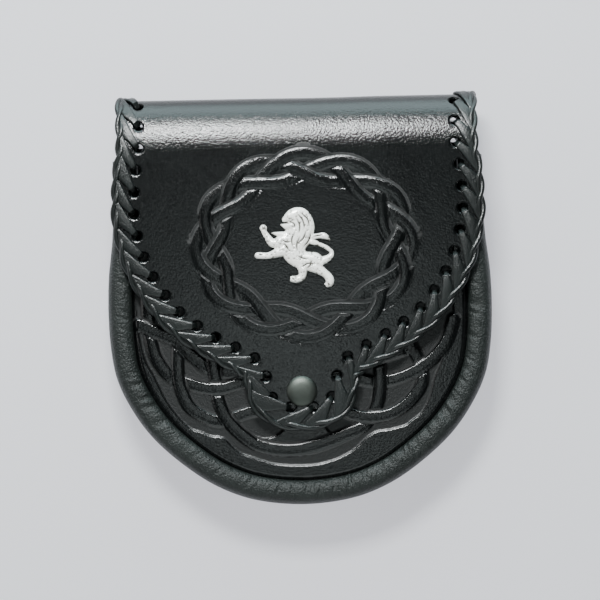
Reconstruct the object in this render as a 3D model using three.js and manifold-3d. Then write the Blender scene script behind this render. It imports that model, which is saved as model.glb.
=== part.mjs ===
// A sporran pouch of tooled black leather with a laced flap, lying on its back. Lengths are millimetres.
// The front faces +Z, the fold of the flap lies at +Y, and X runs to the right as seen from the front.
import * as THREE from "three";
import { mergeVertices } from "three/addons/utils/BufferGeometryUtils.js";
import Module from "manifold-3d";

const wasm = await Module();
wasm.setup();

// Overall sizes, without the lacing round the fold
const POUCH_WIDTH = 167.6;
const POUCH_HEIGHT = 177.6;
const GUSSET_DEPTH = 29.4;
const FLAP_WIDTH = 160.8;
const FLAP_DROP = 144.6;
const FOLD_REACH = 23.4;

// Leather walls, and the clearance that pieces keep to each other
const FLAP_WALL = 2.2;
const PANEL_WALL = 2.0;
const GUSSET_WALL = 2.0;
const CLEARANCE = 0.3;

// The gusset's front roll and its flat back rim, which the pouch rests on
const ROLL_WIDTH = 9.8;
const ROLL_RISE = 2.4;
const RIM_INSET = 5.2;
const RIM_WIDTH = 3.8;

// The mouth, and the flap's tail inside it
const MOUTH_DROP = 39;
const TAIL_LENGTH = 30;

// Lacing round the flap's edge
const LACE_THICKNESS = 1.1;
const LACE_PITCH = 9.35;
const LACE_WIDTH = 6.2;
const LACE_SLACK = 0.75; // between the thong and the leather's cut edge
const BRAID_HEIGHT = 4.2;
const HOLE_INSET = 9.4;
const HOLE_RADIUS = 1.9;
const PLUG_RADIUS = 1.15;

// Plaited ring tooled on the flap, and the knotwork on the front panel
const RING_WIDTH = 83;
const RING_HEIGHT = 68.8;
const RING_ASIDE = 2.6;
const RING_DROP = 64.8;
const RING_WAVE = 5.7;
const BAND_WIDTH = 5.2;
const BAND_RISE = 0.6;

// Lion badge
const BADGE_HEIGHT = 35.3;
const BADGE_RISE = 2.4;
const BADGE_ASIDE = -1.6;
const BADGE_DROP = 65.6;
const BADGE_POST_RADIUS = 1.0;

// Snap fastener
const SNAP_DIAMETER = 13.3;
const SNAP_DOME = 2.4;
const SNAP_FROM_TIP = 16.8;
const SNAP_POST_RADIUS = 2.0;
const STUD_BASE = 0.9;
const STUD_NUB_RADIUS = 2.2;

// Strap loops on the back panel
const LOOP_WIDTH = 16;
const LOOP_LENGTH = 52;
const LOOP_FOOT = 8;
const LOOP_WALL = 1.8;
const LOOP_SLOT = 2.6;
const LOOP_SPREAD = 66;
const LOOP_DROP = 58;
const FLOOR_CLEARANCE = 0.4;

// How finely curved edges are cut into flats
const EDGE_STEP = 4.6;
const BAND_STEPS = 36;
const FOLD_STEPS = 26;
const HOLE_SIDES = 8;
const PLUG_SIDES = 4;
const TURN_SIDES = 20;
const LINE_SAMPLES = 300;

// Silhouette of the pouch: drop is a share of POUCH_HEIGHT, out a share of half POUCH_WIDTH.
const POUCH_OUTLINE = [
  { drop: 0.241, out: 0.962 },
  { drop: 0.339, out: 0.972 },
  { drop: 0.437, out: 0.995 },
  { drop: 0.522, out: 1.0 },
  { drop: 0.61, out: 0.99 },
  { drop: 0.684, out: 0.961 },
  { drop: 0.757, out: 0.89 },
  { drop: 0.831, out: 0.778 },
  { drop: 0.905, out: 0.603 },
  { drop: 0.954, out: 0.441 },
  { drop: 0.986, out: 0.26 },
];

// Outer line of the laced flap: drop is a share of FLAP_DROP, out a share of half FLAP_WIDTH.
const FLAP_OUTLINE = [
  { drop: 0.222, out: 0.992 },
  { drop: 0.298, out: 0.999 },
  { drop: 0.374, out: 1.0 },
  { drop: 0.449, out: 0.971 },
  { drop: 0.522, out: 0.93 },
  { drop: 0.601, out: 0.852 },
  { drop: 0.682, out: 0.74 },
  { drop: 0.737, out: 0.62 },
  { drop: 0.783, out: 0.49 },
  { drop: 0.818, out: 0.37 },
  { drop: 0.838, out: 0.316 },
  { drop: 0.875, out: 0.297 },
  { drop: 0.926, out: 0.272 },
  { drop: 0.957, out: 0.228 },
  { drop: 0.984, out: 0.155 },
  { drop: 0.997, out: 0.06 },
];
const FOLD_OUT = 0.972;

// Gusset seen in section, from the front seam round to the back rim: inset is a share of ROLL_WIDTH,
// level a share of GUSSET_DEPTH.
const GUSSET_SECTION = [
  { inset: 0.8, level: 0.975 },
  { inset: 0.52, level: 1.0 },
  { inset: 0.24, level: 0.965 },
  { inset: 0.06, level: 0.86 },
  { inset: 0.0, level: 0.66 },
  { inset: 0.03, level: 0.36 },
  { inset: 0.14, level: 0.15 },
  { inset: 0.32, level: 0.035 },
];

// Centre lines of the knotwork's bands on the right half of the front panel, mirrored to the left:
// out is a share of half POUCH_WIDTH, drop a share of POUCH_HEIGHT.
const KNOT_BANDS = {
  loop: [
    { out: 0.433, drop: 0.645 },
    { out: 0.428, drop: 0.695 },
    { out: 0.41, drop: 0.747 },
    { out: 0.313, drop: 0.818 },
    { out: 0.12, drop: 0.856 },
    { out: 0.0, drop: 0.864 },
  ],
  outer: [
    { out: 0.606, drop: 0.626 },
    { out: 0.632, drop: 0.685 },
    { out: 0.574, drop: 0.752 },
    { out: 0.491, drop: 0.778 },
    { out: 0.355, drop: 0.787 },
    { out: 0.209, drop: 0.767 },
    { out: 0.14, drop: 0.74 },
  ],
  upper: [
    { out: 0.783, drop: 0.559 },
    { out: 0.768, drop: 0.596 },
    { out: 0.668, drop: 0.67 },
    { out: 0.522, drop: 0.7 },
    { out: 0.381, drop: 0.706 },
    { out: 0.17, drop: 0.665 },
  ],
  inner: [
    { out: 0.705, drop: 0.579 },
    { out: 0.548, drop: 0.628 },
    { out: 0.392, drop: 0.66 },
    { out: 0.29, drop: 0.655 },
  ],
};

// The lion's limbs as rounded bands: across, up and half (half width) are shares of BADGE_HEIGHT.
const LION_LIMBS = {
  head: [
    { across: -0.125, up: 0.345, half: 0.035 },
    { across: -0.03, up: 0.39, half: 0.085 },
    { across: 0.06, up: 0.38, half: 0.118 },
    { across: 0.09, up: 0.27, half: 0.155 },
    { across: 0.06, up: 0.15, half: 0.16 },
  ],
  jaw: [
    { across: -0.165, up: 0.282, half: 0.014 },
    { across: -0.105, up: 0.265, half: 0.042 },
    { across: -0.02, up: 0.27, half: 0.06 },
  ],
  body: [
    { across: 0.05, up: 0.2, half: 0.14 },
    { across: -0.01, up: 0.075, half: 0.165 },
    { across: -0.01, up: -0.06, half: 0.15 },
    { across: 0.08, up: -0.165, half: 0.11 },
    { across: 0.17, up: -0.2, half: 0.09 },
  ],
  haunch: [
    { across: 0.09, up: -0.13, half: 0.08 },
    { across: 0.25, up: -0.175, half: 0.105 },
    { across: 0.34, up: -0.2, half: 0.05 },
  ],
  raisedForeleg: [
    { across: -0.1, up: 0.1, half: 0.09 },
    { across: -0.27, up: 0.06, half: 0.056 },
    { across: -0.335, up: 0.13, half: 0.042 },
    { across: -0.375, up: 0.2, half: 0.036 },
    { across: -0.386, up: 0.245, half: 0.046 },
  ],
  upperArm: [
    { across: -0.09, up: 0.14, half: 0.06 },
    { across: -0.19, up: 0.165, half: 0.034 },
    { across: -0.28, up: 0.185, half: 0.012 },
  ],
  lowerForeleg: [
    { across: -0.12, up: -0.02, half: 0.085 },
    { across: -0.225, up: -0.06, half: 0.058 },
    { across: -0.325, up: -0.092, half: 0.042 },
    { across: -0.46, up: -0.09, half: 0.042 },
  ],
  nearHindleg: [
    { across: 0.09, up: -0.22, half: 0.085 },
    { across: 0.088, up: -0.31, half: 0.052 },
    { across: 0.07, up: -0.365, half: 0.046 },
    { across: 0.0, up: -0.39, half: 0.044 },
    { across: -0.065, up: -0.382, half: 0.036 },
  ],
  farHindleg: [
    { across: 0.21, up: -0.22, half: 0.09 },
    { across: 0.3, up: -0.285, half: 0.06 },
    { across: 0.37, up: -0.335, half: 0.05 },
    { across: 0.415, up: -0.4, half: 0.054 },
    { across: 0.41, up: -0.445, half: 0.052 },
    { across: 0.365, up: -0.47, half: 0.03 },
  ],
  tail: [
    { across: 0.33, up: -0.17, half: 0.05 },
    { across: 0.43, up: -0.118, half: 0.036 },
    { across: 0.447, up: -0.066, half: 0.027 },
    { across: 0.39, up: -0.01, half: 0.026 },
    { across: 0.3, up: 0.035, half: 0.026 },
    { across: 0.2, up: 0.07, half: 0.036 },
  ],
  tuft: [
    { across: 0.2, up: 0.125, half: 0.036 },
    { across: 0.29, up: 0.137, half: 0.032 },
    { across: 0.35, up: 0.138, half: 0.04 },
    { across: 0.4, up: 0.112, half: 0.026 },
    { across: 0.425, up: 0.085, half: 0.01 },
  ],
};

// Levels and lines worked out from the sizes above
const halfPouch = POUCH_WIDTH / 2;
const halfFlap = FLAP_WIDTH / 2;
const foldTop = POUCH_HEIGHT / 2;
const foldStart = foldTop - FOLD_REACH;
const frontFace = GUSSET_DEPTH - ROLL_RISE;
const backFace = FLOOR_CLEARANCE + LOOP_WALL + LOOP_SLOT;
const laceLow = FLAP_WALL / 2 + CLEARANCE;
const laceHigh = laceLow + LACE_THICKNESS;
const laceMiddle = laceLow + LACE_THICKNESS / 2;
const flapLevel = GUSSET_DEPTH + CLEARANCE + laceHigh;
const tailLevel = backFace + PANEL_WALL + CLEARANCE + FLAP_WALL / 2;
const foldRise = (flapLevel - tailLevel) / 2;
const seamInset = ROLL_WIDTH + CLEARANCE;
const leatherInset = LACE_THICKNESS + LACE_SLACK;
const gussetTop = foldStart - 10 * CLEARANCE;
const leather = { color: 0x16191a, roughness: 0.42, metalness: 0 };
const softLeather = { color: 0x141718, roughness: 0.6, metalness: 0 };
const laceLeather = { color: 0x121414, roughness: 0.4, metalness: 0 };
const castMetal = { color: 0xd9d6c8, roughness: 0.3, metalness: 1 };
const snapMetal = { color: 0x6f706c, roughness: 0.35, metalness: 1 };

// A closed three.js geometry as a manifold solid, turned so that its faces point out.
function solidOf(geometry) {
  geometry.deleteAttribute("normal");
  geometry.deleteAttribute("uv");
  const merged = mergeVertices(geometry, 1e-4);
  const corners = new Float32Array(merged.attributes.position.array);
  const triVerts = new Uint32Array(merged.index.array);
  const solid = new wasm.Manifold(new wasm.Mesh({ numProp: 3, vertProperties: corners, triVerts }));
  if (solid.volume() > 0) return solid;
  triVerts.reverse();
  return new wasm.Manifold(new wasm.Mesh({ numProp: 3, vertProperties: corners, triVerts }));
}

function fuse(solids) {
  return solids.reduce((whole, next) => whole.add(next));
}

function cutAll(solid, tools) {
  return solid.subtract(fuse(tools));
}

function meshOf(name, solid, finish) {
  const { vertProperties, triVerts } = solid.getMesh();
  const geometry = new THREE.BufferGeometry();
  geometry.setAttribute("position", new THREE.BufferAttribute(vertProperties, 3));
  geometry.setIndex(new THREE.BufferAttribute(triVerts, 1));
  geometry.computeVertexNormals();
  const mesh = new THREE.Mesh(geometry, new THREE.MeshStandardMaterial(finish));
  mesh.name = name;
  return mesh;
}

// A skin over rings of corners, closed on itself or ended by the faces given for one ring.
function loft(rings, endFaces, closed = false) {
  const count = rings[0].length;
  const index = [];
  const spans = closed ? rings.length : rings.length - 1;
  for (let i = 0; i < spans; i++) {
    const here = i * count;
    const ahead = ((i + 1) % rings.length) * count;
    for (let j = 0; j < count; j++) {
      const next = (j + 1) % count;
      index.push(here + j, here + next, ahead + next, here + j, ahead + next, ahead + j);
    }
  }
  if (!closed) {
    const last = (rings.length - 1) * count;
    for (const [a, b, c] of endFaces) {
      index.push(c, b, a);
      index.push(last + a, last + b, last + c);
    }
  }
  const geometry = new THREE.BufferGeometry().setFromPoints(rings.flat());
  geometry.setIndex(index);
  return solidOf(geometry);
}

function fanFaces(count) {
  return Array.from({ length: count - 2 }, (_, i) => [0, i + 1, i + 2]);
}

// A flat band along a line, between two heights of the surface that place() puts it on.
function bandAlong(stations, low, high, place, closed = false) {
  const rings = stations.map(({ x, y, sideX, sideY, half }) => [
    place(x - sideX * half, y - sideY * half, low),
    place(x + sideX * half, y + sideY * half, low),
    place(x + sideX * half, y + sideY * half, high),
    place(x - sideX * half, y - sideY * half, high),
  ]);
  return loft(rings, fanFaces(4), closed);
}

// Stations along a smooth curve through rows of points, each with the direction across the line.
function stationsOn(curve, steps, halfAt) {
  return Array.from({ length: steps + 1 }, (_, i) => {
    const share = i / steps;
    const at = curve.getPointAt(share);
    const along = curve.getTangentAt(share);
    return { x: at.x, y: at.y, sideX: -along.y, sideY: along.x, half: halfAt(share) };
  });
}

function smoothLine(points, closed = false) {
  return new THREE.CatmullRomCurve3(points, closed, "centripetal");
}

// A disc or post turned about the Z axis, from radius and height pairs that start and end on the axis.
function turned(profile, sides = TURN_SIDES) {
  const points = profile.map(([radius, height]) => new THREE.Vector2(radius, height));
  const geometry = new THREE.LatheGeometry(points, sides);
  return solidOf(geometry.rotateX(Math.PI / 2));
}

function prism(points, low, high) {
  const geometry = new THREE.ExtrudeGeometry(new THREE.Shape(points), {
    depth: high - low,
    bevelEnabled: false,
  });
  return solidOf(geometry.translate(0, 0, low));
}

// The pouch's outer line from the left end of the mouth, round the bottom, to the right end
function pouchSide(sign) {
  const rows = [{ drop: (foldTop - gussetTop) / POUCH_HEIGHT, out: POUCH_OUTLINE[0].out }, ...POUCH_OUTLINE];
  return rows.map(({ drop, out }) => new THREE.Vector3(sign * out * halfPouch, foldTop - drop * POUCH_HEIGHT, 0));
}
const pouchBottom = new THREE.Vector3(0, foldTop - POUCH_HEIGHT, 0);
const pouchLine = smoothLine([...pouchSide(-1), pouchBottom, ...pouchSide(1).reverse()]);

function besideLine(curve, share, inset) {
  const at = curve.getPointAt(share);
  const along = curve.getTangentAt(share);
  return new THREE.Vector2(at.x - along.y * inset, at.y + along.x * inset);
}

// Closed outline of a panel inset from the pouch's outer line, cut straight across at its top
function panelOutline(inset, top) {
  const steps = Math.round(pouchLine.getLength() / EDGE_STEP / 1.5);
  const points = Array.from({ length: steps + 1 }, (_, i) => besideLine(pouchLine, i / steps, inset));
  const first = points.findIndex((p) => p.y < top);
  const last = points.length - 1 - [...points].reverse().findIndex((p) => p.y < top);
  const kept = points.slice(first, last + 1);
  return [new THREE.Vector2(kept[0].x, top), ...kept, new THREE.Vector2(kept[kept.length - 1].x, top)];
}

// The flap's surface: x across it, run up from the fold's start (negative down the front), lift out of it
const fold = new THREE.EllipseCurve(
  foldStart,
  (flapLevel + tailLevel) / 2,
  FOLD_REACH - FLAP_WALL / 2,
  foldRise,
  Math.PI / 2,
  -Math.PI / 2,
  true,
);
const foldLength = fold.getLength();

function onFlap(x, run, lift) {
  if (run <= 0) return new THREE.Vector3(x, foldStart + run, flapLevel + lift);
  if (run >= foldLength) return new THREE.Vector3(x, foldStart + foldLength - run, tailLevel - lift);
  const at = fold.getPointAt(run / foldLength);
  const along = fold.getTangentAt(run / foldLength);
  return new THREE.Vector3(x, at.x - along.y * lift, at.y + along.x * lift);
}

// The flap's outer line, lacing included, from the left end of the fold, round the tab, to the right end
function flapSide(sign) {
  const foldRuns = [foldLength - CLEARANCE, foldLength / 2, CLEARANCE];
  const folded = foldRuns.map((run) => new THREE.Vector3(sign * FOLD_OUT * halfFlap, run, 0));
  const hanging = FLAP_OUTLINE.map(
    ({ drop, out }) => new THREE.Vector3(sign * out * halfFlap, FOLD_REACH - drop * FLAP_DROP, 0),
  );
  return [...folded, ...hanging];
}
const tabTip = new THREE.Vector3(0, FOLD_REACH - FLAP_DROP, 0);
const flapLine = smoothLine([...flapSide(-1), tabTip, ...flapSide(1).reverse()]);
const flapLineLength = flapLine.getLength();

// The lacing keeps an even pitch along the line of its holes, an even number of them, so that none lies
// at the tab's tip. laceShare turns a share of that line into a share of the flap's outer line.
const holeLine = Array.from({ length: LINE_SAMPLES + 1 }, (_, i) =>
  besideLine(flapLine, i / LINE_SAMPLES, HOLE_INSET),
);
const travelled = [0];
for (let i = 1; i <= LINE_SAMPLES; i++) {
  travelled.push(travelled[i - 1] + holeLine[i].distanceTo(holeLine[i - 1]));
}
const laceCount = 2 * Math.round(travelled[LINE_SAMPLES] / LACE_PITCH / 2);
const laceNumbers = Array.from({ length: laceCount }, (_, i) => i);

function laceShare(fraction) {
  const goal = fraction * travelled[LINE_SAMPLES];
  const ahead = Math.max(travelled.findIndex((length) => length >= goal), 1);
  const within = (goal - travelled[ahead - 1]) / (travelled[ahead] - travelled[ahead - 1]);
  return (ahead - 1 + within) / LINE_SAMPLES;
}

function lacePlace(number, inset) {
  return besideLine(flapLine, laceShare((number + 0.5) / laceCount), inset);
}

// A post or punch through the flap at a place on it
function throughFlap(at, radius, sides, low, high) {
  const middle = onFlap(at.x, at.y, (low + high) / 2);
  const outward = onFlap(at.x, at.y, 1).sub(onFlap(at.x, at.y, 0));
  const geometry = new THREE.CylinderGeometry(radius, radius, high - low, sides);
  const turn = new THREE.Quaternion().setFromUnitVectors(new THREE.Vector3(0, 1, 0), outward.normalize());
  geometry.applyQuaternion(turn);
  return solidOf(geometry.translate(middle.x, middle.y, middle.z));
}

// Soft U-shaped wall of the pouch: a rolled front edge, a full side and a flat rim behind
function makeGusset() {
  const outer = [
    new THREE.Vector2(ROLL_WIDTH, frontFace),
    ...GUSSET_SECTION.map(({ inset, level }) => new THREE.Vector2(inset * ROLL_WIDTH, level * GUSSET_DEPTH)),
    new THREE.Vector2(RIM_INSET, 0),
    new THREE.Vector2(RIM_INSET + RIM_WIDTH, 0),
    new THREE.Vector2(ROLL_WIDTH, RIM_WIDTH / 4),
    new THREE.Vector2(ROLL_WIDTH, backFace + PANEL_WALL),
  ];
  const inner = outer.map((point, i) => {
    const before = outer[Math.max(i - 1, 0)];
    const after = outer[Math.min(i + 1, outer.length - 1)];
    const along = after.clone().sub(before).normalize();
    return new THREE.Vector2(point.x - along.y * GUSSET_WALL, point.y + along.x * GUSSET_WALL);
  });
  inner[0].set(ROLL_WIDTH, frontFace - GUSSET_WALL);
  inner[inner.length - 1].set(ROLL_WIDTH - GUSSET_WALL, backFace + PANEL_WALL);
  const section = [...outer, ...inner.reverse()];
  const steps = Math.round(pouchLine.getLength() / EDGE_STEP / 2.3);
  const rings = Array.from({ length: steps + 1 }, (_, i) =>
    section.map(({ x: inset, y: level }) => {
      const at = besideLine(pouchLine, i / steps, inset);
      return new THREE.Vector3(at.x, at.y, level);
    }),
  );
  return loft(rings, THREE.ShapeUtils.triangulateShape(section, []));
}

function makeBackPanel() {
  return prism(panelOutline(seamInset, gussetTop), backFace, backFace + PANEL_WALL);
}

// Front panel with its knotwork bands standing up from the leather
function makeFrontPanel() {
  const outline = panelOutline(seamInset, foldTop - MOUTH_DROP);
  const panel = prism(outline, frontFace - PANEL_WALL, frontFace);
  const place = (x, y, level) => new THREE.Vector3(x, y, frontFace + level);
  const bands = Object.values(KNOT_BANDS).flatMap((rows) =>
    [-1, 1].map((sign) => {
      const line = smoothLine(
        rows.map(({ out, drop }) => new THREE.Vector3(sign * out * halfPouch, foldTop - drop * POUCH_HEIGHT, 0)),
      );
      const steps = Math.round(line.getLength() / EDGE_STEP);
      const stations = stationsOn(line, steps, () => BAND_WIDTH / 2);
      return bandAlong(stations, -PANEL_WALL / 2, BAND_RISE, place);
    }),
  );
  return fuse([panel, ...bands]);
}

// One strand of the three-strand plait: it swings out and in four times round the oval.
function plaitStrand(strand) {
  const middleX = RING_WIDTH / 2;
  const middleY = RING_HEIGHT / 2;
  const points = Array.from({ length: BAND_STEPS }, (_, i) => {
    const around = (2 * Math.PI * i) / BAND_STEPS;
    const swing = RING_WAVE * Math.sin(4 * around + (2 * Math.PI * strand) / 3);
    const x = RING_ASIDE + (middleX + swing) * Math.sin(around);
    const run = FOLD_REACH - RING_DROP + (middleY + swing) * Math.cos(around);
    return new THREE.Vector3(x, run, 0);
  });
  const line = smoothLine(points, true);
  const stations = stationsOn(line, BAND_STEPS, () => BAND_WIDTH / 2).slice(0, -1);
  return bandAlong(stations, 0, FLAP_WALL / 2 + BAND_RISE, onFlap, true);
}

// The flap: tail inside the pouch, fold, front and tab in one thickness of leather
function makeFlap() {
  const foldShare = foldLength / flapLineLength;
  const foldedEdge = Array.from({ length: FOLD_STEPS }, (_, i) => 1 - (foldShare * i) / FOLD_STEPS);
  const steps = Math.round((flapLineLength / 2 - foldLength) / EDGE_STEP);
  const hangingEdge = Array.from({ length: steps }, (_, i) => 1 - foldShare - ((0.5 - foldShare) * i) / steps);
  const rightEdge = [...foldedEdge, ...hangingEdge].map((share) => besideLine(flapLine, share, leatherInset));
  const tailHalf = FOLD_OUT * halfPouch - ROLL_WIDTH - GUSSET_WALL;
  const tip = rightEdge[rightEdge.length - 1];
  const outline = [
    new THREE.Vector2(tailHalf, foldLength + TAIL_LENGTH),
    new THREE.Vector2(tailHalf, foldLength + GUSSET_WALL),
    ...rightEdge,
    new THREE.Vector2(tip.x / 3, FOLD_REACH - FLAP_DROP + leatherInset),
  ];
  const rings = outline.map(({ x, y: run }) => [
    onFlap(-x, run, -FLAP_WALL / 2),
    onFlap(x, run, -FLAP_WALL / 2),
    onFlap(x, run, FLAP_WALL / 2),
    onFlap(-x, run, FLAP_WALL / 2),
  ]);
  const sheet = loft(rings, fanFaces(4));
  const plaited = fuse([sheet, ...[0, 1, 2].map(plaitStrand)]);
  const reach = FLAP_WALL;
  const punches = laceNumbers.map((number) =>
    throughFlap(lacePlace(number, HOLE_INSET), HOLE_RADIUS, HOLE_SIDES, -reach, reach),
  );
  const snapHole = throughFlap(snapPlace, SNAP_POST_RADIUS + CLEARANCE, TURN_SIDES, -reach, reach);
  const postHole = throughFlap(badgePlace, BADGE_POST_RADIUS + CLEARANCE, HOLE_SIDES, -reach, reach);
  return cutAll(plaited, [...punches, snapHole, postHole]);
}

// Thong laced round the flap's edge and through its holes. Each band starts on the edge behind its hole
// and widens the lacing until it reaches the hole, so the inner line is toothed like a saw.
function makeLacing() {
  const full = HOLE_INSET + PLUG_RADIUS / 2;
  const short = HOLE_INSET - LACE_WIDTH;
  const tooth = [
    { after: -0.3, reach: full - (full - short) * 0.3, foldOnly: true },
    { after: -0.12, reach: full },
    { after: 0.12, reach: full },
    { after: 0.3, reach: short },
    { after: 0.5, reach: short + (full - short) * 0.35, foldOnly: true },
  ];
  const stations = laceNumbers.flatMap((number) =>
    tooth
      .filter(({ foldOnly }) => !foldOnly || lacePlace(number, 0).y > 0)
      .map(({ after, reach }) => ({ number: number + after, reach })),
  );
  const ends = [-0.5, laceCount - 0.5].map((number) => ({ number, reach: short }));
  const rings = [ends[0], ...stations.filter(({ number }) => number < ends[1].number), ends[1]].map(
    ({ number, reach }) =>
      [
        { inset: 0, lift: -BRAID_HEIGHT / 2 },
        { inset: 0, lift: BRAID_HEIGHT / 2 },
        { inset: reach, lift: laceHigh },
        { inset: reach, lift: laceLow },
        { inset: LACE_THICKNESS, lift: laceLow },
        { inset: LACE_THICKNESS, lift: -laceLow },
        { inset: reach, lift: -laceLow },
        { inset: reach, lift: -laceHigh },
      ].map(({ inset, lift }) => {
        const at = lacePlace(number, inset);
        return onFlap(at.x, at.y, lift);
      }),
  );
  const endFaces = [
    [0, 1, 5],
    [1, 4, 5],
    [1, 2, 4],
    [2, 3, 4],
    [0, 5, 7],
    [5, 6, 7],
  ];
  const plugs = laceNumbers.map((number) =>
    throughFlap(lacePlace(number, HOLE_INSET - PLUG_RADIUS / 3), PLUG_RADIUS, PLUG_SIDES, -laceMiddle, laceMiddle),
  );
  return fuse([loft(rings, endFaces), ...plugs]);
}

const badgePlace = new THREE.Vector2(BADGE_ASIDE, FOLD_REACH - BADGE_DROP);
const snapPlace = new THREE.Vector2(0, FOLD_REACH - FLAP_DROP + SNAP_FROM_TIP);

// Cast lion rampant, its limbs raised, with a post through the flap
function makeLionBadge() {
  const seat = FLAP_WALL / 2 + CLEARANCE;
  const limbs = Object.values(LION_LIMBS).map((rows) => {
    const line = smoothLine(
      rows.map(({ across, up, half }) => new THREE.Vector3(across, up, half).multiplyScalar(BADGE_HEIGHT)),
    );
    const steps = rows.length + 1;
    const rings = Array.from({ length: steps + 1 }, (_, i) => {
      const at = line.getPoint(i / steps);
      const along = line.getTangent(i / steps).setZ(0).normalize();
      const rise = Math.min(at.z, BADGE_RISE);
      const crossSection = [
        [-1, 0],
        [1, 0],
        [0.6, rise],
        [-0.6, rise],
      ];
      return crossSection.map(([side, lift]) =>
        onFlap(
          badgePlace.x + at.x - along.y * side * at.z,
          badgePlace.y + at.y + along.x * side * at.z,
          seat + lift,
        ),
      );
    });
    return loft(rings, fanFaces(4));
  });
  const post = throughFlap(badgePlace, BADGE_POST_RADIUS, PLUG_SIDES, -FLAP_WALL / 2, seat + BADGE_RISE / 2);
  return fuse([...limbs, post]);
}

// Snap fastener: cap, post and socket riveted on the tab, and the stud on the front panel
const snapY = foldStart + snapPlace.y;
const socketTop = flapLevel - FLAP_WALL / 2 - CLEARANCE;
const studLow = frontFace + BAND_RISE + CLEARANCE;
const studTop = studLow + STUD_BASE;
const socketLow = studTop + CLEARANCE;

function makeSnapCap() {
  const capLow = flapLevel + FLAP_WALL / 2 + CLEARANCE;
  const radius = SNAP_DIAMETER / 2;
  const boreRadius = STUD_NUB_RADIUS + CLEARANCE;
  const boreTop = (socketLow + socketTop) / 2 + CLEARANCE;
  const cap = turned([
    [0, boreTop],
    [boreRadius, boreTop],
    [boreRadius, socketLow],
    [radius * 0.72, socketLow],
    [radius * 0.72, socketTop],
    [SNAP_POST_RADIUS, socketTop],
    [SNAP_POST_RADIUS, capLow],
    [radius, capLow],
    [radius, capLow + SNAP_DOME * 0.3],
    [radius * 0.86, capLow + SNAP_DOME * 0.68],
    [radius * 0.5, capLow + SNAP_DOME * 0.94],
    [0, capLow + SNAP_DOME],
  ]);
  return cap.translate([0, snapY, 0]);
}

function makeSnapStud() {
  const boreTop = (socketLow + socketTop) / 2 + CLEARANCE;
  const stud = turned([
    [0, studLow],
    [SNAP_DIAMETER * 0.36, studLow],
    [SNAP_DIAMETER * 0.36, studTop],
    [STUD_NUB_RADIUS, studTop],
    [STUD_NUB_RADIUS, boreTop - CLEARANCE],
    [0, boreTop - CLEARANCE],
  ]);
  return stud.translate([0, snapY, 0]);
}

// Flat strap loop: two feet on the back panel and a bridge that the strap passes under
function makeStrapLoop(side) {
  const footTop = backFace - CLEARANCE;
  const half = LOOP_LENGTH / 2;
  const inner = half - LOOP_FOOT;
  const slope = LOOP_SLOT;
  const low = FLOOR_CLEARANCE;
  const section = [
    [-half, footTop - LOOP_WALL],
    [-inner, footTop - LOOP_WALL],
    [-inner + slope, low],
    [inner - slope, low],
    [inner, footTop - LOOP_WALL],
    [half, footTop - LOOP_WALL],
    [half, footTop],
    [inner, footTop],
    [inner - slope, low + LOOP_WALL],
    [-inner + slope, low + LOOP_WALL],
    [-inner, footTop],
    [-half, footTop],
  ].map(([y, z]) => new THREE.Vector2(y, z));
  const geometry = new THREE.ExtrudeGeometry(new THREE.Shape(section), {
    depth: LOOP_WIDTH,
    bevelEnabled: false,
  });
  const axes = [new THREE.Vector3(0, 1, 0), new THREE.Vector3(0, 0, 1), new THREE.Vector3(1, 0, 0)];
  geometry.applyMatrix4(new THREE.Matrix4().makeBasis(...axes));
  const x = (side * LOOP_SPREAD) / 2 - LOOP_WIDTH / 2;
  return solidOf(geometry.translate(x, foldTop - LOOP_DROP, 0));
}

const pouch = new THREE.Group();
pouch.add(
  meshOf("gusset", makeGusset(), softLeather),
  meshOf("back_panel", makeBackPanel(), leather),
  meshOf("front_panel", makeFrontPanel(), leather),
  meshOf("flap", makeFlap(), leather),
  meshOf("flap_lacing", makeLacing(), laceLeather),
  meshOf("lion_badge", makeLionBadge(), castMetal),
  meshOf("snap_cap", makeSnapCap(), snapMetal),
  meshOf("snap_stud", makeSnapStud(), snapMetal),
  meshOf("strap_loop_left", makeStrapLoop(-1), leather),
  meshOf("strap_loop_right", makeStrapLoop(1), leather),
);

// The frame's origin is the middle of the base of the bounding box.
const bounds = new THREE.Box3().setFromObject(pouch);
const middle = bounds.getCenter(new THREE.Vector3());
pouch.position.set(-middle.x, -middle.y, -bounds.min.z);

export default pouch;
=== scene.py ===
# A sporran pouch of tooled black leather with a laced flap, a cast lion and a press stud, lying on its
# back. Sizes are in millimetres and each mesh is brought to metres as it is made.
import math

import bpy
import numpy as np
from mathutils import Matrix, Vector


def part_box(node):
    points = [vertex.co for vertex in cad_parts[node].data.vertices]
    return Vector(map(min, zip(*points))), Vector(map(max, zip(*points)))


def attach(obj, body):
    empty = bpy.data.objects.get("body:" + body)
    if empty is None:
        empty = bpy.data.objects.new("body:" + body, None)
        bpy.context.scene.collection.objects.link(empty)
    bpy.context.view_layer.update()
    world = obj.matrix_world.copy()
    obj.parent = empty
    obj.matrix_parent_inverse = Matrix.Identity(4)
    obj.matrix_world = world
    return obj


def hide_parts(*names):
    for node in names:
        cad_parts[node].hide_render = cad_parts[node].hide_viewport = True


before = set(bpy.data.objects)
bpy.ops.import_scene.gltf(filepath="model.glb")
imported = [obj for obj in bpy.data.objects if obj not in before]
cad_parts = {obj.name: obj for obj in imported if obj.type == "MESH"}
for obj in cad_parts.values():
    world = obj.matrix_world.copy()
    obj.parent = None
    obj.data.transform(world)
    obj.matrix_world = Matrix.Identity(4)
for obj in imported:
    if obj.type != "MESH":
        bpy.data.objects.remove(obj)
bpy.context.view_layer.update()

# The gusset: one strip of soft leather bent round the sides and bottom of the pouch. Its front edge is
# rolled over a filler and sewn down beside the front panel, which gathers it into fine puckers. Its back
# edge is folded flat into the rim that the pouch lies on.
mm = 0.001
fold_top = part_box("flap")[1].y / mm
pouch_width, pouch_height, gusset_depth = 167.6, 177.6, 29.4
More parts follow.
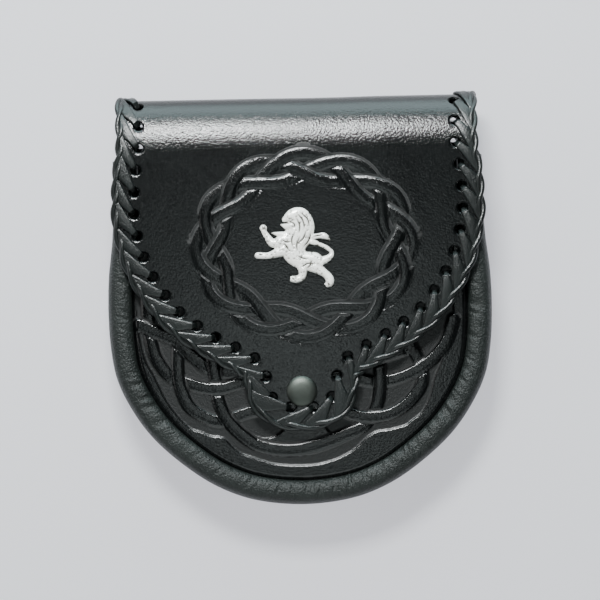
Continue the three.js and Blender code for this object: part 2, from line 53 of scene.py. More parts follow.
fold_reach, roll_width, gusset_wall = 23.4, 9.8, 2.0
half_pouch = pouch_width / 2
fold_start = fold_top - fold_reach
front_face, back_face, clearance = gusset_depth - 2.4, 4.8, 0.3


def travel(line):
    """How far each point of a line is from its start, along it."""
    return np.r_[0, np.cumsum(np.linalg.norm(np.diff(line, axis=0), axis=1))]


def smooth_line(points, steps):
    """Even steps along a smooth line through the points, and the line's direction at each."""
    points = np.array(points, float)
    points = np.vstack([2 * points[0] - points[1], points, 2 * points[-1] - points[-2]])
    share = np.linspace(0, 1, 40, endpoint=False)[:, None]
    dense = []
    for a, b, c, d in zip(points[:-3], points[1:-2], points[2:-1], points[3:]):
        spans = (a, b), (b, c), (c, d)
        before, within, after = (max(np.linalg.norm(q - p), 1e-6) ** 0.5 for p, q in spans)
        leave = ((b - a) / before - (c - a) / (before + within) + (c - b) / within) * within
        arrive = ((c - b) / within - (d - b) / (within + after) + (d - c) / after) * within
        dense.append(b + leave * share + (3 * (c - b) - 2 * leave - arrive) * share**2
                     + (2 * (b - c) + leave + arrive) * share**3)
    dense = np.vstack(dense + [points[-2:-1]])
    travelled = travel(dense)
    even = np.linspace(0, travelled[-1], steps + 1)
    line = np.stack([np.interp(even, travelled, axis) for axis in dense.T], axis=1)
    along = np.gradient(line, axis=0)
    return line, along / np.linalg.norm(along, axis=1)[:, None]


def beside(line, along, inset):
    """A line moved to its left by an inset."""
    return line + np.stack([-along[:, 1], along[:, 0]], axis=1) * inset


def sheet(name, corners, **marks):
    """A grid laid on the given rows and columns of corners, with named values kept on its points."""
    rows, columns = corners.shape[:2]
    bpy.ops.object.select_all(action="DESELECT")
    bpy.ops.mesh.primitive_grid_add(x_subdivisions=columns - 1, y_subdivisions=rows - 1, size=2)
    piece = bpy.context.object
    piece.name = piece.data.name = name
    flat = np.empty(rows * columns * 3)
    piece.data.vertices.foreach_get("co", flat)
    flat = flat.reshape(-1, 3)
    column = np.rint((flat[:, 0] + 1) / 2 * (columns - 1)).astype(int)
    row = np.rint((flat[:, 1] + 1) / 2 * (rows - 1)).astype(int)
    piece.data.vertices.foreach_set("co", (corners[row, column] * mm).ravel())
    for mark, values in marks.items():
        values = values.reshape(rows, columns)[row, column]
        piece.data.attributes.new(mark, "FLOAT", "POINT").data.foreach_set("value", values)
    piece.data.update()
    return piece


def finish(piece, angle=35, close=True):
    """Seams merged, open ends filled, faces turned out, and edges sharper than the angle kept crisp."""
    bpy.ops.object.select_all(action="DESELECT")
    piece.select_set(True)
    bpy.context.view_layer.objects.active = piece
    bpy.ops.object.mode_set(mode="EDIT")
    bpy.ops.mesh.select_all(action="SELECT")
    bpy.ops.mesh.remove_doubles(threshold=1e-7)
    if close:
        bpy.ops.mesh.select_mode(type="EDGE")
        bpy.ops.mesh.select_all(action="DESELECT")
        bpy.ops.mesh.select_non_manifold()
        bpy.ops.mesh.fill_holes(sides=0)
        bpy.ops.mesh.select_mode(type="VERT")
    bpy.ops.mesh.select_all(action="SELECT")
    bpy.ops.mesh.normals_make_consistent(inside=False)
    bpy.ops.object.mode_set(mode="OBJECT")
    bpy.ops.object.shade_smooth_by_angle(angle=math.radians(angle))
    return piece


def join(pieces):
    """Several pieces made into one, the first."""
    bpy.ops.object.select_all(action="DESELECT")
    for piece in pieces:
        piece.select_set(True)
    bpy.context.view_layer.objects.active = pieces[0]
    bpy.ops.object.join()
    return pieces[0]


def tube(name, rings):
    """A skin round rings of corners, closed round each ring and filled at both ends."""
    return finish(sheet(name, np.concatenate([rings, rings[:, :1]], axis=1)))


def gather(count, width, seed):
    """Soft random waves, about the given number of steps wide, between about -1 and 1."""
    waves = np.random.default_rng(seed).normal(size=count + 8 * width)
    reach = np.arange(-4 * width, 4 * width + 1)
    bell = np.exp(-0.5 * (reach / width) ** 2)
    waves = np.convolve(waves, bell / math.sqrt((bell**2).sum()), mode="same")
    return np.tanh(waves[4 * width : 4 * width + count] * 0.8)


def nodes_of(tree):
    """Short ways to add a node with its values, and to link into it."""
    def add(kind, **values):
        node = tree.nodes.new(kind)
        for name, value in values.items():
            setattr(node, name, value)
        return node

    def feed(node, **inputs):
        for name, value in inputs.items():
            at = int(name[1:]) if name[0] == "_" else name.replace("_", " ")
            if isinstance(value, bpy.types.NodeSocket):
                tree.links.new(value, node.inputs[at])
            else:
                node.inputs[at].default_value = value
        return node

    return add, feed


def leather_grain_group():
    """Grain: small rounded pebbles with finer creases, given in metres by Size. Tone is a slow mottle, and
    Speck a fine one."""
    group = bpy.data.node_groups.new("Leather grain", "ShaderNodeTree")
    for name, way in (("Size", "INPUT"), ("Height", "OUTPUT"), ("Tone", "OUTPUT"), ("Speck", "OUTPUT")):
        group.interface.new_socket(name=name, in_out=way, socket_type="NodeSocketFloat")
    add, feed = nodes_of(group)
    given, told = add("NodeGroupInput"), add("NodeGroupOutput")
    place = add("ShaderNodeTexCoord").outputs["Object"]
    rate = feed(add("ShaderNodeMath", operation="DIVIDE"), _0=1.0, _1=given.outputs["Size"]).outputs[0]
    pebble = feed(add("ShaderNodeTexVoronoi", feature="SMOOTH_F1"), Vector=place, Scale=rate,
                  Smoothness=0.6)
    crease = feed(add("ShaderNodeTexNoise"), Vector=place, Scale=rate, Detail=4.0, Roughness=0.65)
    rough = feed(add("ShaderNodeMath", operation="MULTIPLY"), _0=pebble.outputs["Distance"], _1=-0.7)
    height = feed(add("ShaderNodeMath", operation="ADD"), _0=rough.outputs[0], _1=crease.outputs["Fac"])
    tone = feed(add("ShaderNodeTexNoise"), Vector=place, Scale=55.0, Detail=5.0, Roughness=0.6)
    speck = feed(add("ShaderNodeTexNoise"), Vector=place, Scale=1300.0, Detail=2.0, Roughness=0.6)
    feed(told, Height=height.outputs[0], Tone=tone.outputs["Fac"], Speck=speck.outputs["Fac"])
    return group


grain_group = leather_grain_group()


def leather(name, dark, light, rough, grain_size, grain_depth, pressed_tone=None, shine=0.5):
    """Dyed leather, mottled between two tones. With a matting and shade tone it takes that tone and turns
    dull where its mesh is marked "pressed": matted pockets, and painted shade on ribbon edges
    and on slopes that face the key light. Its grain stands up a little where that is marked "creased"."""
    material = bpy.data.materials.new(name)
    material.use_nodes = True
    tree = material.node_tree
    add, feed = nodes_of(tree)
    shader = tree.nodes["Principled BSDF"]
    grain = feed(add("ShaderNodeGroup", node_tree=grain_group), Size=grain_size * mm)
    spread = feed(add("ShaderNodeMapRange"), Value=grain.outputs["Tone"], From_Min=0.35, From_Max=0.65)
    colour = feed(add("ShaderNodeMix", data_type="RGBA"), Factor=spread.outputs[0],
                  _6=(*dark, 1), _7=(*light, 1)).outputs[2]
    dull = feed(add("ShaderNodeMapRange"), Value=grain.outputs["Speck"], From_Min=0.3, From_Max=0.7,
                To_Min=rough - 0.02, To_Max=rough + 0.03).outputs[0]
    height = grain.outputs["Height"]
    if pressed_tone:
        pressed = add("ShaderNodeAttribute", attribute_name="pressed").outputs["Fac"]
        creased = add("ShaderNodeAttribute", attribute_name="creased").outputs["Fac"]
        colour = feed(add("ShaderNodeMix", data_type="RGBA"), Factor=pressed, _6=colour,
                      _7=(*pressed_tone, 1)).outputs[2]
        dull = feed(add("ShaderNodeMix", data_type="FLOAT"), Factor=pressed, _2=dull, _3=1.0).outputs[0]
        deeper = feed(add("ShaderNodeMapRange"), Value=creased, To_Min=1.0, To_Max=1.3).outputs[0]
        height = feed(add("ShaderNodeMath", operation="MULTIPLY"), _0=height, _1=deeper).outputs[0]
    relief = feed(add("ShaderNodeBump"), Strength=1.0, Distance=grain_depth * mm, Height=height)
    feed(shader, Base_Color=colour, Roughness=dull, Normal=relief.outputs["Normal"])
    shader.inputs["Specular IOR Level"].default_value = shine
    return material


def fit(piece, slot, material, *nodes):
    """Gives a piece its material and its place in the frame."""
    piece.data.materials.clear()
    piece.data.materials.append(material)
    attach(piece, "root")
    if nodes:
        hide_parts(*nodes)


pouch_rows = [(0.1487, 0.962), (0.241, 0.962), (0.339, 0.972), (0.437, 0.995), (0.522, 1.0),
              (0.61, 0.99), (0.684, 0.961), (0.757, 0.89), (0.831, 0.778), (0.905, 0.603),
              (0.954, 0.441), (0.986, 0.26)]
left_side = [(-out * half_pouch, fold_top - drop * pouch_height) for drop, out in pouch_rows]
right_side = [(-x, y) for x, y in reversed(left_side)]
pouch_points = left_side + [(0, fold_top - pouch_height)] + right_side
pouch_steps = 1200
pouch_line, pouch_along = smooth_line(pouch_points, pouch_steps)

rolled_lip, roll_base = (10.3, 24.0), 20
gather_start, gather_fade, gather_depth, gather_rise = 2.4, 4.5, 0.66, 0.2
wave_start, wave_fade, wave_depth = 8, 14, 0.2
gusset_section = [(10.8, 25.6), (10.6, 27.2), (8.8, 28.75), (5.6, 29.4), (2.35, 28.4), (0.6, 25.3),
                  (0.0, 19.4), (0.3, 10.6), (1.4, 4.4), (3.1, 1.0), (5.2, 0.0), (9.0, 0.0), (9.8, 1.2),
                  (9.8, 6.8)]
section, section_along = smooth_line(gusset_section, 46)
section[:, 1] = np.maximum(section[:, 1], 0)
section_in = beside(section, section_along, gusset_wall)
section_in[0] = rolled_lip
full_section = np.vstack([section, section_in[::-4]])
gathered = np.clip((section[:, 0] - gather_start) / gather_fade, 0, 1) * (section[:, 1] > roll_base)
rings = np.empty((pouch_steps + 1, len(full_section), 3))
fine, broad, slow = (gather(pouch_steps + 1, width, seed) for width, seed in ((2, 3), (5, 4), (60, 5)))
for j, (inset, level) in enumerate(full_section):
    at = beside(pouch_line, pouch_along, inset)
    sunk = 0
    if j < len(section):
        upper = np.clip((level - wave_start) / wave_fade, 0, 1)
        shift = int(inset * 1.4)
        pucker = np.roll(fine, shift) * 0.65 + np.roll(broad, -shift) * 0.5
        sunk = wave_depth * slow * upper - np.maximum(-pucker, -gather_rise) * gathered[j] * gather_depth
    rings[:, j, :2] = at
    rings[:, j, 2] = level + sunk
gusset = tube("gusset_leather", rings)
soft_leather = leather("Soft gusset leather", (0.0036, 0.0056, 0.0048), (0.0080, 0.0110, 0.0098),
                       rough=0.50, grain_size=0.9, grain_depth=0.34, shine=0.38)
fit(gusset, "soft_leather", soft_leather, "gusset")

# The back panel: a flat piece of stout leather let in behind the gusset and sewn all round its edge with
# a single row of waxed thread, so that the rim and not the panel touches whatever the pouch lies on.
panel_inset, panel_wall = roll_width + clearance, 2.0
seam_inset, seam_end = 3.0, 4
gusset_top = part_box("gusset")[1].y / mm


def panel_edge(inset, top, steps=170):
    """The panel's outline: the pouch's line moved in, and cut straight across at the mouth."""
    line, along = smooth_line(pouch_points, steps)
    edge = beside(line, along, inset)
    kept = edge[edge[:, 1] < top]
    return np.vstack([[kept[0][0], top], kept, [kept[-1][0], top]])


def plate(name, edge, low, high, bevel):
    """A flat plate: a filled ring laid on the edge, extruded to its thickness, with rounded edges."""
    bpy.ops.object.select_all(action="DESELECT")
    bpy.ops.mesh.primitive_circle_add(vertices=len(edge), radius=1, fill_type="NGON")
    piece = bpy.context.object
    piece.name = piece.data.name = name
    for vertex, (x, y) in zip(piece.data.vertices, edge):
        vertex.co = (x * mm, y * mm, low * mm)
    bpy.ops.object.mode_set(mode="EDIT")
    bpy.ops.mesh.select_all(action="SELECT")
    bpy.ops.mesh.extrude_region_move(TRANSFORM_OT_translate={"value": (0, 0, (high - low) * mm)})
    bpy.ops.object.mode_set(mode="OBJECT")
    finish(piece, close=False)
    round_off = piece.modifiers.new("Rounded edge", "BEVEL")
    round_off.width, round_off.segments, round_off.limit_method = bevel * mm, 2, "ANGLE"
    bpy.ops.object.modifier_apply(modifier=round_off.name)
    return finish(piece, close=False)


def stitches(name, line, along, level, length=2.6, gap=1.2, thick=0.55):
    """A row of waxed stitches lying along a line: one stitch modelled and copied."""
    bpy.ops.object.select_all(action="DESELECT")
    bpy.ops.mesh.primitive_uv_sphere_add(segments=8, ring_count=6, radius=0.5 * mm)
    first = bpy.context.object
    first.name = name
    travelled = travel(line)
    places = np.arange(length, travelled[-1] - length, length + gap)
    made = []
    for place in places:
        x, y, along_x, along_y = (np.interp(place, travelled, axis) for axis in (*line.T, *along.T))
        copy = first.copy()
        copy.data = first.data.copy()
        bpy.context.collection.objects.link(copy)
        turn = Matrix.Rotation(math.atan2(along_y, along_x), 4, "Z")
        stretch = Matrix.Diagonal((length, thick, thick, 1))
        copy.data.transform(Matrix.Translation((x * mm, y * mm, level * mm)) @ (turn @ stretch))
        made.append(copy)
    bpy.data.objects.remove(first)
    row = join(made)
    row.name = row.data.name = name
    return finish(row, close=False)


panel_leather = leather("Panel leather", (0.016, 0.017, 0.016), (0.030, 0.031, 0.029),
                        rough=0.55, grain_size=0.7, grain_depth=0.06)
back = plate("back_leather", panel_edge(panel_inset, gusset_top), back_face, back_face + panel_wall, 0.4)
fit(back, "panel_leather", panel_leather, "back_panel")

thread = leather("Waxed thread", (0.02, 0.02, 0.019), (0.05, 0.05, 0.048),
                 rough=0.5, grain_size=0.25, grain_depth=0.05)
seam_line = beside(pouch_line, pouch_along, panel_inset + seam_inset)
below = seam_line[:, 1] < gusset_top - seam_end
seam = stitches("back_seam_stitches", seam_line[below], pouch_along[below], back_face - 0.05)
fit(seam, "panel_leather", thread)

# The front panel: stout leather, dyed black and tooled before it was sewn in. Flat ribbons of knotwork
# stand between pockets that were pressed down with a matting tool, and its rim dives under the roll.
front_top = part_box("front_panel")[1].y / mm
# Each ribbon's middle line. Where two cross, over_at names both, the side of the pouch that they cross on
# and the one that goes over. The ground is pressed down inside pressed_line but for the keystone.
knot_lines = {
    "loop": [(-38.5, -16), (-38.5, -26.1), (-37.6, -33.9), (-36.3, -43.6), (-33.2, -51.0),
             (-27.1, -58.0), (-19.7, -63.2), (-10.1, -65.4), (-1.3, -65.4), (10.1, -62.4),
             (19.2, -58.9), (25.8, -56.2), (30.2, -51.4), (32.8, -45.8), (34.1, -38.3), (34.1, -30.4),
             (33.7, -22)],
    "outer": [(-52.1, -10), (-53.8, -25.2), (-53.4, -34.4), (-51.6, -40.9), (-49.0, -45.8),
              (-43.8, -49.7), (-37.2, -52.3), (-30.6, -51.4), (-24.9, -49.2), (-18.4, -47.9),
              (0.0, -46.6), (16.6, -48.4), (21.9, -50.6), (28.9, -51.9), (38.5, -50.6), (46.8, -45.3),
              (52.1, -37.9), (52.5, -33.1), (50.8, -26.5), (47.2, -20.8), (43.8, -14)],
    "upper": [(-66.5, 2), (-66.1, -9.0), (-65.2, -16.4), (-63.4, -23.4), (-58.6, -30.9), (-53.4, -34.4),
              (-49.4, -35.7), (-44.2, -37.4), (-38.9, -38.3), (-33.2, -37.9), (-26.2, -35.7),
              (-20.1, -33.1), (0.0, -29.1), (24.9, -35.2), (31.1, -36.6), (38.1, -36.1), (43.3, -34.8),
              (48.6, -32.6), (53.8, -29.6), (58.2, -26.1), (63.4, -19.5), (66.5, -10)],
    "inner": [(-70.2, -9.6), (-64.6, -12.3), (-59.1, -14.7), (-54.2, -16.9), (-51.2, -19.5),
              (-48.6, -22.6), (-45.1, -25.6), (-41.1, -28.7), (-35.4, -30.9), (0.0, -30.9),
              (30.6, -26.9), (34.6, -26.1), (38.9, -24.8), (43.3, -23.4), (48.1, -21.7)],
}
over_at = [("outer", "loop", -1, "loop"), ("outer", "loop", 1, "outer"), ("loop", "upper", -1, "upper"),
           ("loop", "upper", 1, "loop"), ("outer", "upper", -1, "outer"),
           ("outer", "upper", 1, "upper"), ("loop", "inner", -1, "loop"),
           ("outer", "inner", -1, "inner"), ("loop", "inner", 1, "inner"),
           ("outer", "inner", 1, "outer"), ("upper", "inner", -1, "inner")]
keystone = [(-20, -59.4), (-16.8, -60.2), (-13.0, -59.6), (-9.4, -57.4), (-6.5, -54.5), (-4, -50),
            (8, -50), (10.5, -56.5), (13.0, -58.7), (18, -58.3), (23, -56.6), (27, -54.9), (27, -58),
            (20, -62), (0, -68), (-18, -65), (-20, -59.4)]
pressed_line = [(-71.8, 1.9), (-71.3, -7.7), (-70.0, -18.6), (-67.8, -26.1), (-65.2, -30.9),
                (-63.0, -35.7), (-59.9, -42.2), (-54.7, -49.7), (-49.0, -55.4), (-44.6, -57.1),
                (-40.2, -58.9), (-35.0, -59.8), (-30.6, -64.1), (-27.1, -66.8), (-22.3, -68.5),
                (-17.5, -70.2), (-12.7, -71.6), (-5.2, -72.4), (7.4, -72.0), (20.6, -67.2),
                (31.1, -58.9), (38.5, -57.6), (45.1, -55.8), (48.1, -53.6), (52.1, -50.6),
                (54.7, -46.6), (56.4, -42.2), (57.8, -36.6), (63.0, -23.9), (66.5, -12), (67, 2)]


def nearest_on(line, places):
    """Each place's distance from the line, and which of the line's steps lies nearest."""
    step = np.empty(len(places), int)
    for start in range(0, len(places), 4000):
        some = places[start : start + 4000]
        gaps = (some[:, :1] - line[None, :, 0]) ** 2 + (some[:, 1:] - line[None, :, 1]) ** 2
        step[start : start + 4000] = gaps.argmin(axis=1)
    along = np.gradient(line, axis=0)[step]
    half_step = np.linalg.norm(along, axis=1) / 2
    along /= 2 * half_step[:, None]
    apart = places - line[step]
    past = np.abs((apart * along).sum(axis=1)) - half_step
    across = apart[:, 0] * along[:, 1] - apart[:, 1] * along[:, 0]
    return np.hypot(across, np.maximum(past, 0)), step


def ease(value, start, end):
    """From 0 at the start to 1 at the end, softly."""
    share = np.clip((value - start) / (end - start), 0, 1)
    return share * share * (3 - 2 * share)


def hump(value, width):
    """1 where the value is 0, and fading to either side of it."""
    return np.exp(-((value / width) ** 2))


wall_reach, over_rise, cut_depth = 0.8, 0.16, 0.22


def weave(places, lines, levels, ground, top, bow, foot_half, upper_bow, shade_spared):
    """Ribbons laid over a ground: each is bowed across, dips under the ribbons that cross it, and has a
    fine cut beside it. Gives the height, the ribbons' cover, and where it is made dull and painted darker
    as shade lines: at the foot of each upper edge, and on the edge itself where shade_spared is low."""
    near = [nearest_on(line, places) for line in lines]
    distance = np.stack([gap for gap, _ in near])
    level = np.stack([rise[step] for (_, step), rise in zip(near, levels)])
    above = np.stack([places[:, 1] - line[step, 1] for line, (_, step) in zip(lines, near)])
    height, cover, dull_and_shade = ground.copy(), np.zeros(len(places)), np.zeros(len(places))
    for rank in np.argsort(level, axis=0):
        picked = (np.take_along_axis(rows, rank[None], axis=0)[0] for rows in (distance, level, above))
        gap, rise, up = picked
        laid = 1 - np.clip(gap - foot_half + wall_reach, 0, 1) ** 2
        bowed = bow * (1 - (1 - upper_bow) * ease(up / foot_half, 0.0, 0.6))
        crowned = top + over_rise * rise - bowed * np.clip(gap / foot_half, 0, 1.15) ** 2.4
        cut = hump(gap - foot_half - 0.1, 0.55) * ease(rise, 0.0, 0.6) * cover
        height = height * (1 - laid) + crowned * laid - cut_depth * cut
        # Painted shade lines, dull and darker, on the edge and the foot of the side towards the key light.
        edge = hump(gap - foot_half + 0.1, 0.5) * (1 - shade_spared)
        foot = hump(gap - foot_half - 0.4, 0.4)
        dull_and_shade = dull_and_shade * (1 - laid) + np.maximum(edge, foot) * ease(up / foot_half, 0.0, 0.4)
        cover = np.maximum(cover, laid)
    return height, cover, np.clip(dull_and_shade, 0, 1)


def depth_inside(outline, places):
    """How far each place is inside a closed outline, and less than 0 outside it."""
    within = np.zeros(len(places), bool)
    for (x0, y0), (x1, y1) in zip(outline, np.roll(outline, -1, axis=0)):
        spans = (y0 > places[:, 1]) != (y1 > places[:, 1])
        within[spans] ^= places[spans, 0] < x0 + (x1 - x0) * (places[spans, 1] - y0) / (y1 - y0)
    gap = nearest_on(outline, places)[0]
    return np.where(within, gap, -gap)


knot_steps = 700
knots = {name: smooth_line(points, knot_steps)[0] for name, points in knot_lines.items()}
crossings = {name: [] for name in knots}
for first, second, side, over in over_at:
    here = np.flatnonzero(knots[first][:, 0] * side > 0)
    gap, step = nearest_on(knots[second], knots[first][here])
    if gap.min() < 1:
        crossings[first].append((here[gap.argmin()], 1 if over == first else -1))
        crossings[second].append((step[gap.argmin()], 1 if over == second else -1))
knot_levels = []
for name in knots:
    steps, signs = zip(*sorted(crossings[name]))
    knot_levels.append(np.interp(np.arange(knot_steps + 1), steps, signs))

outline, outline_along = smooth_line(pouch_points, 1400)
front_edge = beside(outline, outline_along, panel_inset)
right_edge = front_edge[(front_edge[:, 0] >= 0) & (front_edge[:, 1] < front_top)]
right_edge = right_edge[np.argsort(right_edge[:, 1])]
edge_step, fine_row, hidden_row, front_columns = 0.7, 0.41, 2.5, 331
low_rows = np.interp(np.arange(0.0, 60, edge_step), travel(right_edge), right_edge[:, 1])
low_rows = low_rows[np.r_[True, np.diff(low_rows) < fine_row]]
rows_y = np.r_[low_rows, np.arange(low_rows[-1] + fine_row, 0, fine_row),
               np.arange(0.5, front_top - 1, hidden_row), front_top]
half_at = np.interp(rows_y, right_edge[:, 1], right_edge[:, 0])
across = np.linspace(-1, 1, front_columns)
corners = np.empty((len(rows_y), len(across), 3))
corners[..., 0] = half_at[:, None] * across
corners[..., 1] = rows_y[:, None]
places = corners[..., :2].reshape(-1, 2)
rim_gap, _ = nearest_on(front_edge, places)
above_mouth = [(67, 60), (-72, 60)]
boundary = np.vstack([smooth_line(pressed_line, 600)[0], above_mouth])
inside = ease(depth_inside(boundary, places), -0.3, 1.0)
inside *= 1 - ease(depth_inside(smooth_line(keystone, 200)[0], places), -0.4, 0.4)
height, cover, dull_and_shade = weave(places, list(knots.values()), knot_levels, ground=-0.55 * inside, top=0.40,
                              bow=0.40, foot_half=2.75, upper_bow=0.35, shade_spared=1)
rim_dive, rim_reach = 1.7, 3.2
height -= rim_dive * (1 - ease(rim_gap, 0.0, rim_reach)) ** 1.5
corners[..., 2] = front_face + height.reshape(len(rows_y), -1)


def backed(name, corners, low, step, **marks):
    """A leather of full thickness: a tooled top, and a plainer underside bridged to it round the edge."""
    top = sheet(name, corners, **marks)
    rows = np.unique(np.r_[0 : len(corners) : step, len(corners) - 1])
    columns = np.unique(np.r_[0 : corners.shape[1] : step, corners.shape[1] - 1])
    under = sheet(name + "_under", low[np.ix_(rows, columns)])
    both = join([top, under])
    bpy.ops.object.mode_set(mode="EDIT")
    bpy.ops.mesh.select_mode(type="EDGE")
    bpy.ops.mesh.select_all(action="DESELECT")
    bpy.ops.mesh.select_non_manifold()
    bpy.ops.mesh.bridge_edge_loops()
    bpy.ops.mesh.select_mode(type="VERT")
    bpy.ops.object.mode_set(mode="OBJECT")
    return finish(both, close=False)


underside = corners.copy()
underside[..., 2] = front_face - panel_wall
# Matted pockets take the darker, dull tone, and so do painted shade lines at each upper edge's foot.
front_matting_and_shade = np.maximum(0.25 * inside * (1 - cover), 0.9 * dull_and_shade)
front = backed("front_leather", corners, underside, 6, pressed=front_matting_and_shade)
tooled_leather = leather("Tooled leather", (0.0012, 0.0015, 0.0016), (0.0026, 0.0032, 0.0032),
                         rough=0.18, grain_size=0.85, grain_depth=0.085,
                         pressed_tone=(0.0008, 0.0010, 0.0010))
fit(front, "tooled_leather", tooled_leather, "front_panel")

# The flap: one piece of the same leather that starts as a tail inside the mouth, turns over the top and
# hangs down the front to a small tab. A plait of three strands is tooled in a ring on it, and holes are
# punched all round its edge for the lacing.
flap_width, flap_drop, flap_wall, fold_out = 160.8, 144.6, 2.2, 0.972
half_flap = flap_width / 2
flap_rows = [(0.222, 0.992), (0.298, 0.999), (0.374, 1.0), (0.449, 0.971), (0.522, 0.93),
             (0.601, 0.852), (0.682, 0.74), (0.737, 0.62), (0.783, 0.49), (0.818, 0.37), (0.838, 0.316),
             (0.875, 0.297), (0.926, 0.272), (0.957, 0.228), (0.984, 0.155), (0.997, 0.06)]
tail_level = back_face + panel_wall + clearance + flap_wall / 2
flap_level = 32.2
leather_inset, hole_inset, hole_radius, lace_pitch = 1.85, 9.4, 1.9, 9.35
fold_in, fold_up = fold_reach - flap_wall / 2, (flap_level - tail_level) / 2
turning = np.linspace(math.pi / 2, -math.pi / 2, 800)
fold_line = np.stack([fold_start + fold_in * np.cos(turning), tail_level + fold_up * (1 + np.sin(turning))],
                     axis=1)
fold_run = travel(fold_line)
fold_length = fold_run[-1]


def on_flap(x, run, lift):
    """Places on the flap: x across it, run up from the start of the fold and lift out of its surface."""
    x, run, lift = np.broadcast_arrays(*(np.asarray(v, float) for v in (x, run, lift)))
    angle = np.interp(run, fold_run, turning)
    out = np.stack([fold_up * np.cos(angle), fold_in * np.sin(angle)])
    out /= np.maximum(np.hypot(*out), 1e-9)
    y = fold_start + fold_in * np.cos(angle) + np.minimum(run, 0) - np.maximum(run - fold_length, 0)
    z = tail_level + fold_up * (1 + np.sin(angle))
    return np.stack([x, y + out[0] * lift, z + out[1] * lift], axis=-1)


flap_left = [(-fold_out * half_flap, run) for run in (fold_length - 0.3, fold_length / 2, 0.3)]
flap_left += [(-out * half_flap, fold_reach - drop * flap_drop) for drop, out in flap_rows]
flap_right = [(-x, run) for x, run in reversed(flap_left)]
flap_steps = 1200
flap_line, flap_along = smooth_line(flap_left + [(0, fold_reach - flap_drop)] + flap_right, flap_steps)

ring_middle, ring_wave = np.array([2.6, fold_reach - 64.8]), 5.7
ring_half, ring_radius, ring_turn = np.array([41.5, 34.4]), 38, 0.13
around = np.linspace(0, 2 * math.pi, 1001)
strands, strand_levels = [], []
for strand in range(3):
    phase = 4 * (around - ring_turn) + 2 * math.pi * strand / 3
    swing = ring_wave * np.sin(phase)
    reach = ring_half + swing[:, None]
    strands.append(ring_middle + reach * np.stack([np.sin(around), np.cos(around)], axis=1))
    strand_levels.append(np.sin(2 * phase))

leather_edge = beside(flap_line, flap_along, leather_inset)[flap_steps // 2 :]
leather_edge = leather_edge[leather_edge[:, 0] > 0.8]
edge_run = np.maximum.accumulate(leather_edge[:, 1])
even_edge = np.interp(np.arange(0, 20, 0.8), travel(leather_edge), edge_run)
even_edge = even_edge[np.r_[True, np.diff(even_edge) < 0.5]]
ring_foot, tab_row, ring_row, fold_row, tail_row, tail_length = -84, 0.65, 0.445, 1.7, 2.5, 30
flap_runs = np.r_[even_edge, np.arange(even_edge[-1] + 0.6, ring_foot, tab_row),
                  np.arange(ring_foot, 1.5, ring_row), np.arange(2, fold_length - 1, fold_row), fold_length,
                  fold_length + 2, np.arange(fold_length + 4, fold_length + tail_length - 2, tail_row),
                  fold_length + tail_length]
tail_half = fold_out * half_pouch - roll_width - gusset_wall
flap_half = np.interp(flap_runs, edge_run, leather_edge[:, 0])
flap_half[flap_runs > fold_length + 1] = tail_half
columns = [np.linspace(*span) for span in ((-0.975, -0.83, 23), (-0.83, -0.60, 14), (-0.60, 0.66, 210),
                                           (0.66, 0.83, 10), (0.83, 0.975, 23))]
across = np.unique(np.r_[-1, np.concatenate(columns), 1])
place_x = flap_half[:, None] * across
place_run = np.repeat(flap_runs[:, None], len(across), axis=1)
places = np.stack([place_x.ravel(), place_run.ravel()], axis=1)
ring_share = np.hypot(*((places - ring_middle) / ring_half).T)
between = 1 - ease(abs(ring_share - 1) * ring_radius, 2.5, 8.5)
# Only the ring's upper arcs keep the shine of their edges; lower down the edges get painted shade lines.
high_up = ease(places[:, 1], -44, -14)
height, cover, dull_and_shade = weave(places, strands, strand_levels, ground=-0.34 * between, top=0.30, bow=0.46,
                              foot_half=2.6, upper_bow=0.04 + 0.5 * high_up, shade_spared=high_up)
hole_line = beside(flap_line, flap_along, hole_inset)
hole_run = travel(hole_line)
lace_count = 2 * round(hole_run[-1] / lace_pitch / 2)


def lace_place(number, inset):
    """A place on the flap beside a hole's number, at an inset from the outer line of the lacing."""
    steps = np.arange(len(hole_run))
    share = np.interp((np.asarray(number, float) + 0.5) / lace_count * hole_run[-1], hole_run, steps)
    at, along = (np.stack([np.interp(share, steps, axis) for axis in rows.T], axis=-1)
                 for rows in (flap_line, flap_along))
    return at + np.stack([-along[..., 1], along[..., 0]], axis=-1) * np.asarray(inset)[..., None]


holes = lace_place(np.arange(lace_count), np.full(lace_count, hole_inset))
for hole in holes:
    gap = np.hypot(*(places - hole).T)
    lower_side = np.clip((hole[1] - places[:, 1]) / np.maximum(gap, 0.1), 0, 1)
    height -= (0.10 + 0.45 * lower_side) * (1 - ease(gap, hole_radius - 0.2, hole_radius + 1.1))
slack_depth = 0.13
slack = sum(np.outer(gather(len(flap_runs), 38, seed), gather(len(across), 30, seed + 1))
            for seed in (21, 31, 41))
height += slack_depth * slack.ravel()
lifted = height.reshape(place_x.shape)
# Painted shade: slopes on the lower ring that face up the flap, towards the key light, are darker and dull.
faces_up = -np.gradient(lifted, axis=0) / np.gradient(flap_runs)[:, None]
on_ring = between.reshape(place_x.shape) * (1 - high_up.reshape(place_x.shape))
dull_and_shade = np.maximum(dull_and_shade.reshape(place_x.shape), on_ring * ease(faces_up, 0.10, 0.22))
top = on_flap(place_x, place_run, flap_wall / 2 + lifted)
under = on_flap(place_x, place_run, -flap_wall / 2)
flap = backed("flap_leather", top, under, 6, pressed=0.95 * dull_and_shade, creased=ease(places[:, 1], 1, 9))

